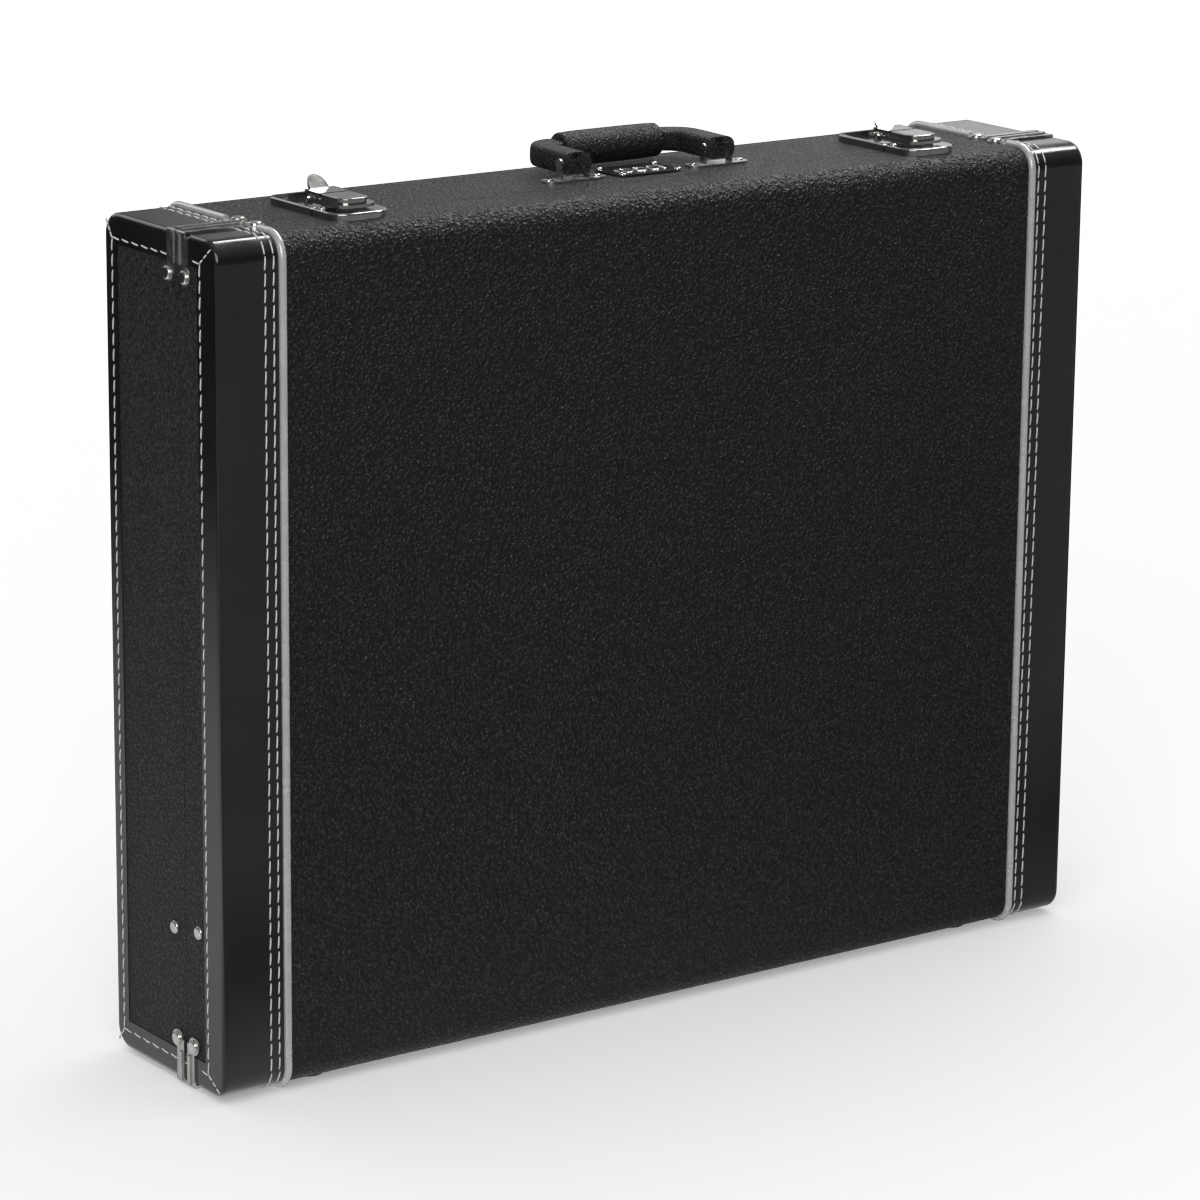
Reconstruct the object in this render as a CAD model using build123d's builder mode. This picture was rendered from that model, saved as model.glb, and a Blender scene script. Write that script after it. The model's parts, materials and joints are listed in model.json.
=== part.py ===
"""Hard pedalboard case, standing upright on its hinge side, with the lid towards -Y.

X runs along the case, +Y points from the lid to the back of the base, +Z is up.
The origin is at the bottom centre of the whole object. All lengths are in millimetres.
"""

import os

from build123d import *

os.makedirs("parts", exist_ok=True)

# ---- driving dimensions ----
WIDTH, HEIGHT = 620.0, 493.0  # outer size of the case body
LID_DEPTH, BASE_DEPTH = 40.7, 79.8
CORNER_R = 13.0  # long edges of the case
END_EDGE_R = 3.0  # edges round the two end faces
STAND = 3.0  # gap between the case body and the floor
SEAM_GAP = 0.2  # each side of the seam plane
SKIN = 1.0  # tolex and leatherette
PLY, END_PLY = 5.0, 8.0  # bent wrap and flat end boards
LINING = 1.2

FOOT_R, FOOT_H = 15.0, 8.0
PIPE_INSET, PIPE_W, PIPE_H = 42.0, 4.5, 2.7  # centre from the end, width, height
PIPE_R = 2.2  # rounding of the bead, which leaves a thin flat
PIPE_STOP = 17.5  # from the seam to each end of the bead

BORDER_FRONT, BORDER_BACK = 20.5, 13.8  # leatherette border round each end inlay
BORDER_BOTTOM, BORDER_TOP = 17.0, 17.0
INLAY_RECESS = 0.3

HINGE_X, HINGE_L = 190.0, 60.0
LEAF_T, LEAF_W = 1.2, 22.0
KNUCKLE_R, HINGE_PIN_R, RUN_FIT = 2.5, 1.2, 0.05
HINGE_ROOM = 0.4  # clearance round the knuckles

LATCH_X, LATCH_W = 204.0, 38.0
PAN_H, PAN_FLOOR, PAN_RIM = 4.6, 1.4, 2.0
HANDLE_X, HANDLE_HALF = 20.0, 52.0  # handle centre, and bail centres from it
ARM_W, ARM_T = 17.0, 14.0
GRIP_R, GRIP_L = 10.5, 72.0

# ---- derived places ----
FRONT_Y = -(LID_DEPTH + BASE_DEPTH + FOOT_H - PIPE_H) / 2
SEAM_Y = FRONT_Y + LID_DEPTH
BACK_Y = SEAM_Y + BASE_DEPTH
BOTTOM_Z = STAND
TOP_Z = STAND + HEIGHT
END_X = WIDTH / 2
WALL = SKIN + PLY
END_WALL = SKIN + END_PLY
INNER_X = END_X - END_WALL
PIPE_X = END_X - PIPE_INSET
LID_RIM_Y, BASE_RIM_Y = SEAM_Y - SEAM_GAP, SEAM_Y + SEAM_GAP
PAST = 1.0  # how far a cutter runs past the face that it cuts
SIDES = {"left": -1, "right": 1}
HALVES = {"lid": (FRONT_Y, LID_RIM_Y), "base": (BACK_Y, BASE_RIM_Y)}
WINDOWS_Y = {"lid": (FRONT_Y + BORDER_FRONT, SEAM_Y + PAST), "base": (SEAM_Y - PAST, BACK_Y - BORDER_BACK)}


def outline(outer_y, rim_y, inset, mode=Mode.ADD, past_rim=0.0):
    """Section of one half of the case, inset from its skin, straight across at the rim."""
    into = 1 if rim_y > outer_y else -1
    face_y, edge_y = outer_y + into * inset, rim_y + into * past_rim
    low, high = BOTTOM_Z + inset, TOP_Z - inset
    with BuildLine() as rim:
        FilletPolyline((edge_y, low), (face_y, low), (face_y, high), (edge_y, high),
                       radius=CORNER_R - inset)
        Line((edge_y, high), (edge_y, low))
    make_face(rim.edges(), mode=mode)


def off_seam(edges, rim_y):
    return edges.filter_by(lambda edge: abs(edge.center().Y - rim_y) > PAST)


def end_edges(part, rim_y):
    """Edges of the face at greatest X, without the one on the seam."""
    face = part.faces().sort_by(Axis.X)[-1]
    return off_seam(face.edges(), rim_y)


# ---- box: end boards, bent wrap and coverings of each half ----
with BuildPart() as knuckle_grooves:
    for side in SIDES.values():
        with Locations((side * HINGE_X, SEAM_Y, BOTTOM_Z)):
            Cylinder(KNUCKLE_R + HINGE_ROOM, HINGE_L + 2 * HINGE_ROOM, rotation=(0, 90, 0))

for half, (outer_y, rim_y) in HALVES.items():
    with BuildPart() as end_board:
        with BuildSketch(Plane.YZ.offset(INNER_X)):
            outline(outer_y, rim_y, SKIN)
        extrude(amount=END_PLY)
        fillet(end_edges(end_board.part, rim_y), END_EDGE_R - SKIN)

    with BuildPart() as end_boards:
        add(end_board.part)
        mirror(end_board.part, about=Plane.YZ)
    end_boards.part.label = f"{half}_end_boards"
    export_step(end_boards.part, f"parts/{half}_end_boards.step")

    with BuildPart() as wrap:
        with BuildSketch(Plane.YZ):
            outline(outer_y, rim_y, SKIN)
            outline(outer_y, rim_y, WALL, Mode.SUBTRACT, past_rim=PAST)
        extrude(amount=INNER_X, both=True)
        add(knuckle_grooves.part, mode=Mode.SUBTRACT)
    wrap.part.label = f"{half}_wrap"
    export_step(wrap.part, f"parts/{half}_wrap.step")

    with BuildPart() as tolex:
        with BuildSketch(Plane.YZ):
            outline(outer_y, rim_y, 0)
            outline(outer_y, rim_y, SKIN, Mode.SUBTRACT, past_rim=PAST)
        extrude(amount=PIPE_X - PIPE_W / 2, both=True)
        add(knuckle_grooves.part, mode=Mode.SUBTRACT)
    tolex.part.label = f"{half}_tolex"
    export_step(tolex.part, f"parts/{half}_tolex.step")

    window_y = WINDOWS_Y[half]
    window_z = (BOTTOM_Z + BORDER_BOTTOM, TOP_Z - BORDER_TOP)
    window_mid = (sum(window_y) / 2, sum(window_z) / 2)
    window_size = (window_y[1] - window_y[0], window_z[1] - window_z[0])

    with BuildPart() as core:
        with BuildSketch(Plane.YZ.offset(PIPE_X)):
            outline(outer_y, rim_y, SKIN, past_rim=PAST)
        extrude(amount=END_X - SKIN - PIPE_X)
        fillet(end_edges(core.part, rim_y), END_EDGE_R - SKIN)

    with BuildPart() as band:
        with BuildSketch(Plane.YZ.offset(PIPE_X + PIPE_W / 2)):
            outline(outer_y, rim_y, 0)
        extrude(amount=END_X - PIPE_X - PIPE_W / 2)
        fillet(end_edges(band.part, rim_y), END_EDGE_R)
        add(core.part, mode=Mode.SUBTRACT)
        with BuildSketch(Plane.YZ.offset(END_X - SKIN - PAST)):
            with Locations(window_mid):
                Rectangle(*window_size)
        extrude(amount=SKIN + 2 * PAST, mode=Mode.SUBTRACT)
    band.part.label = f"{half}_band_right"
    export_step(band.part, f"parts/{half}_band_right.step")

    with BuildPart() as band_mirrored:
        mirror(band.part, about=Plane.YZ)
    band_mirrored.part.label = f"{half}_band_left"
    export_step(band_mirrored.part, f"parts/{half}_band_left.step")

    with BuildPart() as inlay:
        with BuildSketch(Plane.YZ.offset(END_X - SKIN)):
            outline(outer_y, rim_y, SKIN)
            with Locations(window_mid):
                Rectangle(*window_size, mode=Mode.INTERSECT)
        extrude(amount=SKIN - INLAY_RECESS)
    with BuildPart() as inlays:
        add(inlay.part)
        mirror(inlay.part, about=Plane.YZ)
    inlays.part.label = f"{half}_end_inlays"
    export_step(inlays.part, f"parts/{half}_end_inlays.step")

    with BuildPart() as bead:
        with BuildSketch(Plane.YZ.offset(PIPE_X - PIPE_W / 2)):
            outline(outer_y, rim_y, -PIPE_H)
        extrude(amount=PIPE_W)
        rims = bead.faces().filter_by(Axis.X).edges()
        fillet(off_seam(rims, rim_y), PIPE_R)
        with BuildSketch(Plane.YZ.offset(PIPE_X - PIPE_W / 2)):
            outline(outer_y, rim_y, SKIN, past_rim=PAST)
        extrude(amount=PIPE_W, mode=Mode.SUBTRACT)
        # The bead stops short of the seam, where the corner brackets cross it.
        for z in (BOTTOM_Z - PIPE_H, TOP_Z + PIPE_H):
            with Locations((PIPE_X, SEAM_Y, z)):
                Box(PIPE_W + PAST, 2 * PIPE_STOP, 2 * PIPE_H, mode=Mode.SUBTRACT)
    with BuildPart() as piping:
        add(bead.part)
        mirror(bead.part, about=Plane.YZ)
    piping.part.label = f"{half}_piping"
    export_step(piping.part, f"parts/{half}_piping.step")

# ---- inside of the base: lining, valance, pedal board ----
with BuildPart() as base_lining:
    with BuildSketch(Plane.YZ):
        outline(BACK_Y, BASE_RIM_Y, WALL)
    extrude(amount=INNER_X, both=True)
    with BuildSketch(Plane.YZ):
        outline(BACK_Y, BASE_RIM_Y, WALL + LINING, past_rim=PAST)
    extrude(amount=INNER_X - LINING, both=True, mode=Mode.SUBTRACT)
base_lining.part.label = "base_lining"
export_step(base_lining.part, "parts/base_lining.step")

VALANCE_T, VALANCE_IN, VALANCE_OUT = 3.0, 12.0, 10.0
INSIDE = WALL + LINING
with BuildPart() as base_valance:
    with BuildSketch(Plane.XZ.offset(-SEAM_Y - VALANCE_IN)):
        with Locations((0, STAND + HEIGHT / 2)):
            Rectangle(2 * (INNER_X - LINING), HEIGHT - 2 * INSIDE)
            Rectangle(2 * (INNER_X - LINING - VALANCE_T), HEIGHT - 2 * (INSIDE + VALANCE_T),
                      mode=Mode.SUBTRACT)
    extrude(amount=VALANCE_IN + VALANCE_OUT)
base_valance.part.label = "base_valance"
export_step(base_valance.part, "parts/base_valance.step")

RAIL_L, RAIL_W, RAIL_T, RAIL_R = 520.0, 32.0, 12.0, 4.0
RAIL_Z = (85.0, 249.5, 414.0)
BOARD_T, BOARD_R, CARPET_T = 9.0, 6.0, 3.0
BOARD_W, BOARD_H = 576.0, 460.0
CARPET_INSET = 1.0
MID_Z = STAND + HEIGHT / 2
lining_face_y = BACK_Y - INSIDE
board_back_y = lining_face_y - RAIL_T
with BuildPart() as board_rails:
    with Locations(*[(0, lining_face_y - RAIL_T / 2, z) for z in RAIL_Z]):
        Box(RAIL_L, RAIL_T, RAIL_W)
    fillet(board_rails.edges().filter_by(Axis.Y), RAIL_R)
board_rails.part.label = "board_rails"
export_step(board_rails.part, "parts/board_rails.step")

with BuildPart() as pedal_board:
    with BuildSketch(Plane.XZ.offset(-board_back_y)):
        with Locations((0, MID_Z)):
            RectangleRounded(BOARD_W, BOARD_H, BOARD_R)
    extrude(amount=BOARD_T)
pedal_board.part.label = "pedal_board"
export_step(pedal_board.part, "parts/pedal_board.step")

with BuildPart() as board_carpet:
    with BuildSketch(Plane.XZ.offset(-(board_back_y - BOARD_T))):
        with Locations((0, MID_Z)):
            RectangleRounded(BOARD_W - 2 * CARPET_INSET, BOARD_H - 2 * CARPET_INSET, BOARD_R)
    extrude(amount=CARPET_T)
board_carpet.part.label = "board_carpet"
export_step(board_carpet.part, "parts/board_carpet.step")
carpet_y = board_back_y - BOARD_T - CARPET_T

# ---- inside of the lid: lining that stops short of the valance, foam pad ----
LID_LINING_RIM = VALANCE_OUT + 1.0
with BuildPart() as lid_lining:
    with BuildSketch(Plane.YZ):
        outline(FRONT_Y, SEAM_Y - LID_LINING_RIM, WALL)
    extrude(amount=INNER_X, both=True)
    with BuildSketch(Plane.YZ):
        outline(FRONT_Y, SEAM_Y - LID_LINING_RIM, INSIDE, past_rim=PAST)
    extrude(amount=INNER_X - LINING, both=True, mode=Mode.SUBTRACT)
lid_lining.part.label = "lid_lining"
export_step(lid_lining.part, "parts/lid_lining.step")

FOAM_W, FOAM_T, FOAM_CORNER, FOAM_EDGE = 570.0, 22.0, 14.0, 6.0
with BuildPart() as lid_foam:
    with BuildSketch(Plane.XZ.offset(-(FRONT_Y + INSIDE + FOAM_T))):
        with Locations((0, MID_Z)):
            RectangleRounded(FOAM_W, BOARD_H, FOAM_CORNER)
    extrude(amount=FOAM_T)
    fillet(lid_foam.faces().sort_by(Axis.Y)[-1].edges(), FOAM_EDGE)
lid_foam.part.label = "lid_foam"
export_step(lid_foam.part, "parts/lid_foam.step")

# ---- feet and glides ----
GLIDE_R, GLIDE_EDGE_R, GLIDE_X = 9.0, 1.2, 240.0
GLIDE_Y = {"base": (BACK_Y - 24, SEAM_Y + 14), "lid": (FRONT_Y + 23,)}
with BuildPart() as glide:
    Cylinder(GLIDE_R, STAND, align=(Align.CENTER, Align.CENTER, Align.MIN))
    fillet(glide.faces().sort_by(Axis.Z)[0].edges(), GLIDE_EDGE_R)
with BuildPart() as base_glides:
    with Locations(*[(side * GLIDE_X, y, 0) for side in SIDES.values() for y in GLIDE_Y["base"]]):
        add(glide.part)
base_glides.part.label = "base_glides"
export_step(base_glides.part, "parts/base_glides.step")

with BuildPart() as lid_glides:
    with Locations(*[(side * GLIDE_X, y, 0) for side in SIDES.values() for y in GLIDE_Y["lid"]]):
        add(glide.part)
lid_glides.part.label = "lid_glides"
export_step(lid_glides.part, "parts/lid_glides.step")

FOOT_X, FOOT_UP = 232.0, 58.0
FOOT_TAPER, FOOT_BORE_R, FOOT_BORE_H, FOOT_EDGE_R = 2.0, 5.0, 4.0, 1.5
FOOT_PLACES = [(side * FOOT_X, BACK_Y, STAND + up)
               for side in SIDES.values() for up in (FOOT_UP, HEIGHT - FOOT_UP)]
with BuildPart() as rubber_feet:
    for place in FOOT_PLACES:
        with Locations(Plane(origin=place, z_dir=(0, 1, 0))):
            Cone(FOOT_R, FOOT_R - FOOT_TAPER, FOOT_H, align=(Align.CENTER, Align.CENTER, Align.MIN))
            with Locations((0, 0, FOOT_H)):
                Cylinder(FOOT_BORE_R, FOOT_BORE_H, align=(Align.CENTER, Align.CENTER, Align.MAX),
                         mode=Mode.SUBTRACT)
    rim_faces = rubber_feet.faces().filter_by(Axis.Y).group_by(Axis.Y)[-1]
    fillet(rim_faces.edges().filter_by(lambda edge: edge.radius > FOOT_BORE_R + PAST), FOOT_EDGE_R)
rubber_feet.part.label = "rubber_feet"
export_step(rubber_feet.part, "parts/rubber_feet.step")


def headed(head_r, head_h, shank_r, shank_l):
    """Domed head on the XY plane with its shank below it."""
    with BuildPart() as fastener:
        Cylinder(head_r, head_h, align=(Align.CENTER, Align.CENTER, Align.MIN))
        fillet(fastener.edges().group_by(Axis.Z)[-1], 0.85 * head_h)
        Cylinder(shank_r, shank_l, align=(Align.CENTER, Align.CENTER, Align.MAX))
    return fastener.part


# ---- hinges at the bottom of the seam ----
LUG_L = 18.0  # each outer knuckle, on the base leaf
LUG_GAP_X = 0.6  # between knuckles
LEAF_CORNER_R, LEAF_START = 4.0, 1.5  # corner rounding, and the leaf's edge from the seam
CUT_H = 10.0
KNUCKLE_ROOM = 2 * (KNUCKLE_R + HINGE_ROOM)
for name, side in SIDES.items():
    x = side * HINGE_X
    lug_x = (HINGE_L - LUG_L) / 2
    with BuildPart() as base_leaf:
        with Locations((x, SEAM_Y + LEAF_START + LEAF_W / 2, BOTTOM_Z - LEAF_T / 2)):
            Box(HINGE_L, LEAF_W, LEAF_T)
        fillet(base_leaf.edges().filter_by(Axis.Z).group_by(Axis.Y)[-1], LEAF_CORNER_R)
        with Locations((x, SEAM_Y, BOTTOM_Z)):
            Box(HINGE_L - 2 * LUG_L + LUG_GAP_X, KNUCKLE_ROOM, CUT_H, mode=Mode.SUBTRACT)
        for shift in (-lug_x, lug_x):
            with Locations((x + shift, SEAM_Y, BOTTOM_Z)):
                Cylinder(KNUCKLE_R, LUG_L, rotation=(0, 90, 0))
        with Locations((x, SEAM_Y, BOTTOM_Z)):
            Cylinder(HINGE_PIN_R, HINGE_L, rotation=(0, 90, 0), mode=Mode.SUBTRACT)
    base_leaf.part.label = f"hinge_{name}_base_leaf"
    export_step(base_leaf.part, f"parts/hinge_{name}_base_leaf.step")

    with BuildPart() as lid_leaf:
        with Locations((x, SEAM_Y - LEAF_START - LEAF_W / 2, BOTTOM_Z - LEAF_T / 2)):
            Box(HINGE_L, LEAF_W, LEAF_T)
        fillet(lid_leaf.edges().filter_by(Axis.Z).group_by(Axis.Y)[0], LEAF_CORNER_R)
        for shift in (-lug_x, lug_x):
            with Locations((x + shift, SEAM_Y, BOTTOM_Z)):
                Box(LUG_L + LUG_GAP_X, KNUCKLE_ROOM, CUT_H, mode=Mode.SUBTRACT)
        with Locations((x, SEAM_Y, BOTTOM_Z)):
            Cylinder(KNUCKLE_R, HINGE_L - 2 * LUG_L - LUG_GAP_X, rotation=(0, 90, 0))
            Cylinder(HINGE_PIN_R + RUN_FIT, HINGE_L, rotation=(0, 90, 0), mode=Mode.SUBTRACT)
    lid_leaf.part.label = f"hinge_{name}_lid_leaf"
    export_step(lid_leaf.part, f"parts/hinge_{name}_lid_leaf.step")

with BuildPart() as hinge_pins:
    with Locations(*[(side * HINGE_X, SEAM_Y, BOTTOM_Z) for side in SIDES.values()]):
        Cylinder(HINGE_PIN_R, HINGE_L, rotation=(0, 90, 0))
hinge_pins.part.label = "hinge_pins"
export_step(hinge_pins.part, "parts/hinge_pins.step")

SCREW_X, SCREW_Y = 20.0, 15.0  # leaf screws from the hinge's middle, and from the seam
BOARD_SCREW_X = (-240.0, 0.0, 240.0)
screw = headed(head_r=3.5, head_h=1.6, shank_r=1.5, shank_l=6.0)
leaf_screw_xs = [side * HINGE_X + dx for side in SIDES.values() for dx in (-SCREW_X, SCREW_X)]
with BuildPart() as base_screws:
    for x in leaf_screw_xs:
        with Locations(Plane(origin=(x, SEAM_Y + SCREW_Y, BOTTOM_Z - LEAF_T), z_dir=(0, 0, -1))):
            add(screw)
    for x, y, z in FOOT_PLACES:
        with Locations(Plane(origin=(x, y + FOOT_H - FOOT_BORE_H, z), z_dir=(0, 1, 0))):
            add(screw)
    for x in BOARD_SCREW_X:
        for z in RAIL_Z:
            # These hold the board to its rails, with their heads under the carpet.
            with Locations(Plane(origin=(x, carpet_y + CARPET_T, z), z_dir=(0, -1, 0))):
                add(screw)
base_screws.part.label = "base_screws"
export_step(base_screws.part, "parts/base_screws.step")

with BuildPart() as lid_screws:
    for x in leaf_screw_xs:
        with Locations(Plane(origin=(x, SEAM_Y - SCREW_Y, BOTTOM_Z - LEAF_T), z_dir=(0, 0, -1))):
            add(screw)
lid_screws.part.label = "lid_screws"
export_step(lid_screws.part, "parts/lid_screws.step")

# ---- webbing stays inside the ends, folded short while the lid is shut ----
STAY_BASE = (SEAM_Y + 12.2, BOTTOM_Z + 89.8)
STAY_LID = (SEAM_Y - 14.1, BOTTOM_Z + 93.4)
STAY_W, STAY_T, STAY_END, STAY_CORNER_R = 20.0, 1.5, 7.0, 4.0
STAY_GAP = 0.2
stay_x = INNER_X - LINING - VALANCE_T - STAY_T / 2 - STAY_GAP
stay_y, stay_z = (STAY_BASE[0] + STAY_LID[0]) / 2, (STAY_BASE[1] + STAY_LID[1]) / 2
for name, side in SIDES.items():
    with BuildPart() as stay:
        with Locations((side * stay_x, stay_y, stay_z)):
            Box(STAY_T, STAY_BASE[0] - STAY_LID[0] + 2 * STAY_END, STAY_W)
        fillet(stay.edges().filter_by(Axis.X), STAY_CORNER_R)
    stay.part.label = f"stay_strap_{name}"
    export_step(stay.part, f"parts/stay_strap_{name}.step")

# ---- bent corner brackets on both sides of the seam ----
BRACKET_T, STRIP_FAR, LOBE_R = 1.2, 9.4, 5.3  # thickness, strip's far edge from the seam, ear radius
CLEAR_TOP, CLEAR_BOTTOM = 0.5, 1.8  # strip's near edge from the seam; at the bottom the lid turns there
BEND_OUT_R = 1.1
RIB_OFF, RIB_W, RIB_H = 2.6, 3.0, 0.9  # pressed rib: middle from the strip's near edge, width, height
LEG_END, LEG_FLAT = 25.5, 46.0  # legs down the end face, and along the top or bottom
RIB_FLAT_END, RIB_LEG_END = 4.0, 8.0  # how much shorter the ribs are than the legs
LOBE_OFF, LOBE_IN = 9.0, 1.5  # ear centre from the seam, and in from the leg's end


def bracket(out, seam_clear):
    """Bracket at the top corner of the +X end; out is +1 on the base and -1 on the lid."""
    wide = STRIP_FAR - seam_clear
    strip_y = SEAM_Y + out * (STRIP_FAR + seam_clear) / 2
    lobe_y = SEAM_Y + out * LOBE_OFF
    rib_y = SEAM_Y + out * (seam_clear + RIB_OFF)
    with BuildPart() as bent:
        with Locations((END_X + BRACKET_T / 2, strip_y, TOP_Z + BRACKET_T - LEG_END / 2)):
            Box(BRACKET_T, wide, LEG_END)
        with Locations((END_X + BRACKET_T - LEG_FLAT / 2, strip_y, TOP_Z + BRACKET_T / 2)):
            Box(LEG_FLAT, wide, BRACKET_T)
        with Locations((END_X + BRACKET_T / 2, lobe_y, TOP_Z - LEG_END + LOBE_IN)):
            Cylinder(LOBE_R, BRACKET_T, rotation=(0, 90, 0))
        with Locations((END_X - LEG_FLAT + LOBE_IN, lobe_y, TOP_Z + BRACKET_T / 2)):
            Cylinder(LOBE_R, BRACKET_T)
        across = bent.edges().filter_by(Axis.Y)
        fillet(across.sort_by(lambda edge: edge.center().X + edge.center().Z)[-1], BEND_OUT_R)
        with Locations((END_X + BRACKET_T + RIB_H / 2, rib_y, TOP_Z - LEG_END / 2 + RIB_FLAT_END)):
            Box(RIB_H, RIB_W, LEG_END - RIB_LEG_END)
        with Locations((END_X - LEG_FLAT / 2 + BRACKET_T, rib_y, TOP_Z + BRACKET_T + RIB_H / 2)):
            Box(LEG_FLAT - RIB_FLAT_END, RIB_W, RIB_H)
    return bent.part


flip = Plane(origin=(0, 0, MID_Z), z_dir=(0, 0, 1))
for half, out in (("base", 1), ("lid", -1)):
    with BuildPart() as lower:
        mirror(bracket(out, CLEAR_BOTTOM), about=flip)
    with BuildPart() as brackets:
        for corner_piece in (bracket(out, CLEAR_TOP), lower.part):
            add(corner_piece)
            mirror(corner_piece, about=Plane.YZ)
    brackets.part.label = f"{half}_corner_brackets"
    export_step(brackets.part, f"parts/{half}_corner_brackets.step")

dome = headed(head_r=4.0, head_h=1.7, shank_r=1.5, shank_l=7.0)
for half, out, stay in (("base", 1, STAY_BASE), ("lid", -1, STAY_LID)):
    lobe_y = SEAM_Y + out * LOBE_OFF
    lobe_up = LEG_END - LOBE_IN
    with BuildPart() as domes:
        for side in SIDES.values():
            lobe_x = side * (END_X - LEG_FLAT + LOBE_IN)
            face_x = side * (END_X + BRACKET_T)
            for place, normal in (
                ((face_x, lobe_y, TOP_Z - lobe_up), (side, 0, 0)),
                ((face_x, lobe_y, BOTTOM_Z + lobe_up), (side, 0, 0)),
                ((lobe_x, lobe_y, TOP_Z + BRACKET_T), (0, 0, 1)),
                ((lobe_x, lobe_y, BOTTOM_Z - BRACKET_T), (0, 0, -1)),
                ((side * (END_X - INLAY_RECESS), *stay), (side, 0, 0)),
            ):
                with Locations(Plane(origin=place, z_dir=normal)):
                    add(dome)
    domes.part.label = f"{half}_dome_rivets"
    export_step(domes.part, f"parts/{half}_dome_rivets.step")

# ---- latches on the top, over the seam ----
CATCH_FRONT, PLATE_BACK, PLATE_START = 26.4, 49.0, 0.6  # ends of the two pans from the seam
PAN_EDGE_R, PAN_CORNER_R, PAN_HOLLOW_R, CATCH_CORNER_R = 1.0, 7.0, 4.0, 12.0
STRIKER_Y, STRIKER = 13.0, (14.0, 4.0, 1.1)  # from the seam; length, width, height
PIVOT_OFF, PIVOT_UP = 8.8, 6.0  # lever pin from the seam, and above the case
HASP_ARM = 6.0  # hasp pin behind the lever pin
LATCH_PIN_R, LEVER_PIN_L = 1.2, 13.2
LUG_W, LUG_D, LUG_R = 7.0, 4.8, 2.7  # lever pin's block on the pan
HASP_W, HASP_SLOT, HASP_T, HASP_FRONT = 26.8, 20.4, 1.8, 20.5
HASP_UP, HASP_CORNER_R, COVER_CORNER_R, COVER_IN, COVER_EDGE_R = 6.2, 9.0, 7.0, 3.0, 0.8
LEVER_UP, LEVER_W, LEVER_T = 9.2, 19.4, 2.0
LEVER_NEAR, LEVER_BEND, LEVER_END = 2.0, 13.0, 20.5  # from the lever pin
TAB_RISE, TAB_W = 6.5, 12.0
EAR_X, EAR_W, EAR_H, EYE_R = 5.4, 2.4, 5.5, 2.6
COVER_GAP = 1.9  # between the lever and the hasp's cover
RIVET_IN, RIVET_BACK, RIVET_LID = (14.0, 6.0), 7.0, (15.5, 5.0)
hasp_low, lever_low = TOP_Z + HASP_UP, TOP_Z + LEVER_UP
pivot = (SEAM_Y + PIVOT_OFF, TOP_Z + PIVOT_UP)
hasp_pin_y = pivot[0] + HASP_ARM
hasp_front_y = SEAM_Y - HASP_FRONT
cover_back_y = pivot[0] - LEVER_NEAR - COVER_GAP
plate_l = PLATE_BACK - PLATE_START
plate_y = SEAM_Y + PLATE_START + plate_l / 2
catch_l = CATCH_FRONT - PLATE_START
small_rivet = headed(head_r=2.3, head_h=1.1, shank_r=1.0, shank_l=5.0)
latch_rivets = {"base": [], "lid": []}
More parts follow.
